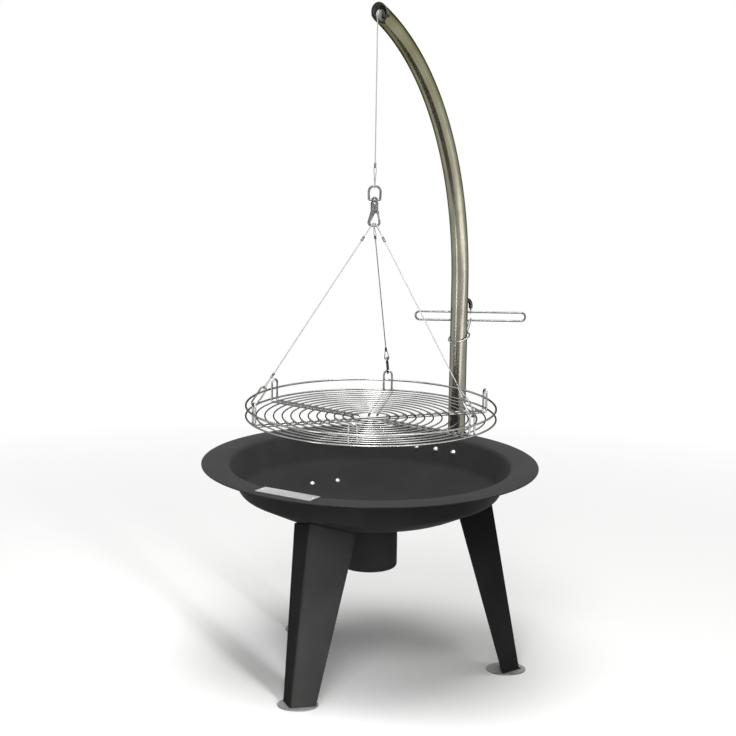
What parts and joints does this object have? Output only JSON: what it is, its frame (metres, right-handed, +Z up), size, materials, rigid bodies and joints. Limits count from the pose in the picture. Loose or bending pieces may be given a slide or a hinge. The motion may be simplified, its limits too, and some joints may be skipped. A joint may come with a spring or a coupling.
{
  "type": "tripod swing grill",
  "caption": "Fire bowl on folded sheet legs with a curved swinging mast that hangs a round wire grate on a rope hoist with a pull handle and holding ring.",
  "frame": {"origin": "on the ground under the centre of the fire bowl", "axes": "+Z up, -Y towards the viewer in front, +X to the viewer's right; the mast stands at 60 degrees from +X towards +Y"},
  "size_m": [0.8, 0.8003, 1.5968],
  "materials": {
    "black_paint": "matt heatproof paint",
    "mast_steel": "satin, brushed along the tube",
    "bright_wire": "bright drawn wire",
    "zinc_steel": "zinc plated",
    "wire_rope": "stranded wire rope",
    "black_trim": "matt",
    "plate_metal": "brushed, bare"
  },
  "bodies": {
    "stand": {"bowl": "black_paint", "ash_pot": "black_paint", "name_plate": "plate_metal", "leg_right": "black_paint", "leg_rear": "black_paint", "leg_front": "black_paint", "leg_bolt_right_a": "zinc_steel", "leg_bolt_right_b": "zinc_steel", "leg_bolt_rear_a": "zinc_steel", "leg_bolt_rear_b": "zinc_steel", "leg_bolt_front_a": "zinc_steel", "leg_bolt_front_b": "zinc_steel", "mast_socket": "black_paint", "socket_bolt_a": "zinc_steel", "socket_bolt_b": "zinc_steel", "socket_bolt_c": "zinc_steel"},
    "mast": {"mast_tube": "mast_steel", "mouth_trim": "black_trim", "cable_outlet": "mast_steel", "pulley_axle": "zinc_steel", "hoist_rope_inner": "wire_rope", "pull_rope": "wire_rope"},
    "pulley": {"pulley": "zinc_steel"},
    "pull": {"ring_link": "bright_wire"},
    "handle": {"pull_handle": "bright_wire", "pull_eye": "wire_rope"},
    "ring": {"holding_ring": "bright_wire"},
    "hoist": {"hoist_rope_drop": "wire_rope"},
    "lift": {"hoist_eye": "wire_rope"},
    "eye": {"swivel_eye": "zinc_steel"},
    "hook": {"swivel_hook": "zinc_steel"},
    "gate": {"hook_gate": "bright_wire"},
    "grate": {"hanger_rope_back": "wire_rope", "hanger_rope_left": "wire_rope", "hanger_rope_right": "wire_rope", "connector_back": "zinc_steel", "connector_left": "zinc_steel", "connector_right": "zinc_steel", "grate_rail": "bright_wire", "grate_outer_ring": "bright_wire", "grate_ring_01": "bright_wire", "grate_ring_02": "bright_wire", "grate_ring_03": "bright_wire", "grate_ring_04": "bright_wire", "grate_ring_05": "bright_wire", "grate_ring_06": "bright_wire", "grate_ring_07": "bright_wire", "grate_ring_08": "bright_wire", "grate_ring_09": "bright_wire", "grate_ring_10": "bright_wire", "grate_ring_11": "bright_wire", "grate_ring_12": "bright_wire", "grate_frame_a": "bright_wire", "grate_frame_b": "bright_wire", "grate_frame_c": "bright_wire"},
    "gate_back": {"connector_gate_back": "bright_wire"},
    "gate_left": {"connector_gate_left": "bright_wire"},
    "gate_right": {"connector_gate_right": "bright_wire"}
  },
  "joints": [
    {"name": "mast_swing", "type": "hinge", "parent": "stand", "child": "mast", "pos_m": [0.214, 0.37066, 0.3893], "axis": [0, 0, 1], "continuous": true},
    {"name": "handle_pull", "type": "slide", "parent": "mast", "child": "pull", "axis": [0, 0, -1], "range_m": [0, 0.22], "deforming": ["pull_rope"]},
    {"name": "handle_turn", "type": "hinge", "parent": "pull", "child": "handle", "pos_m": [0.24265, 0.3947, 0.7975], "axis": [0, 0, 1], "range_deg": [-50, 0]},
    {"name": "ring_tilt", "type": "hinge", "parent": "pull", "child": "ring", "pos_m": [0.23415, 0.38757, 0.74706], "axis": [-0.6428, 0.766, 0], "range_deg": [0, 20]},
    {"name": "pulley_spin", "type": "hinge", "parent": "mast", "child": "pulley", "pos_m": [0.00645, 0.01117, 1.56495], "axis": [-0.866, 0.5, 0], "range_deg": [-2, 979]},
    {"name": "hoist_sway", "type": "hinge", "parent": "mast", "child": "hoist", "pos_m": [0, 0, 1.56495], "axis": [-0.866, 0.5, 0], "range_deg": [-6, 6]},
    {"name": "grate_height", "type": "slide", "parent": "hoist", "child": "lift", "axis": [0, 0, 1], "range_m": [0, 0.22], "deforming": ["hoist_rope_drop"]},
    {"name": "eye_tilt", "type": "hinge", "parent": "lift", "child": "eye", "pos_m": [0, 0, 1.1698], "axis": [1, 0, 0], "range_deg": [-10, 10]},
    {"name": "swivel_turn", "type": "hinge", "parent": "eye", "child": "hook", "pos_m": [0, 0, 1.1372], "axis": [0, 0, 1], "continuous": true},
    {"name": "grate_tilt", "type": "hinge", "parent": "hook", "child": "grate", "pos_m": [0, 0, 1.0765], "axis": [1, 0, 0], "range_deg": [-8, 8]},
    {"name": "hook_gate_open", "type": "hinge", "parent": "hook", "child": "gate", "pos_m": [0.0078, 0, 1.1078], "axis": [0, 1, 0], "range_deg": [0, 30], "stiffness_Nm_per_rad": 0.02, "springref_deg": -17.19},
    {"name": "connector_gate_back_open", "type": "hinge", "parent": "grate", "child": "gate_back", "pos_m": [0.03859, 0.2746, 0.67253], "axis": [-0.9903, 0.1392, 0], "range_deg": [0, 25], "stiffness_Nm_per_rad": 0.01, "springref_deg": -17.19},
    {"name": "connector_gate_left_open", "type": "hinge", "parent": "grate", "child": "gate_left", "pos_m": [-0.26145, -0.09254, 0.67264], "axis": [0.336, -0.9418, 0.0034], "range_deg": [0, 25], "stiffness_Nm_per_rad": 0.01, "springref_deg": -17.19},
    {"name": "connector_gate_right_open", "type": "hinge", "parent": "grate", "child": "gate_right", "pos_m": [0.22441, -0.16295, 0.67262], "axis": [0.5911, 0.8065, -0.006], "range_deg": [0, 25], "stiffness_Nm_per_rad": 0.01, "springref_deg": -17.19}
  ],
  "couplings": [
    {"joint": "grate_height", "follows": "handle_pull", "ratio": 1},
    {"joint": "pulley_spin", "follows": "handle_pull", "rad_per_m": 77.519}
  ]
}
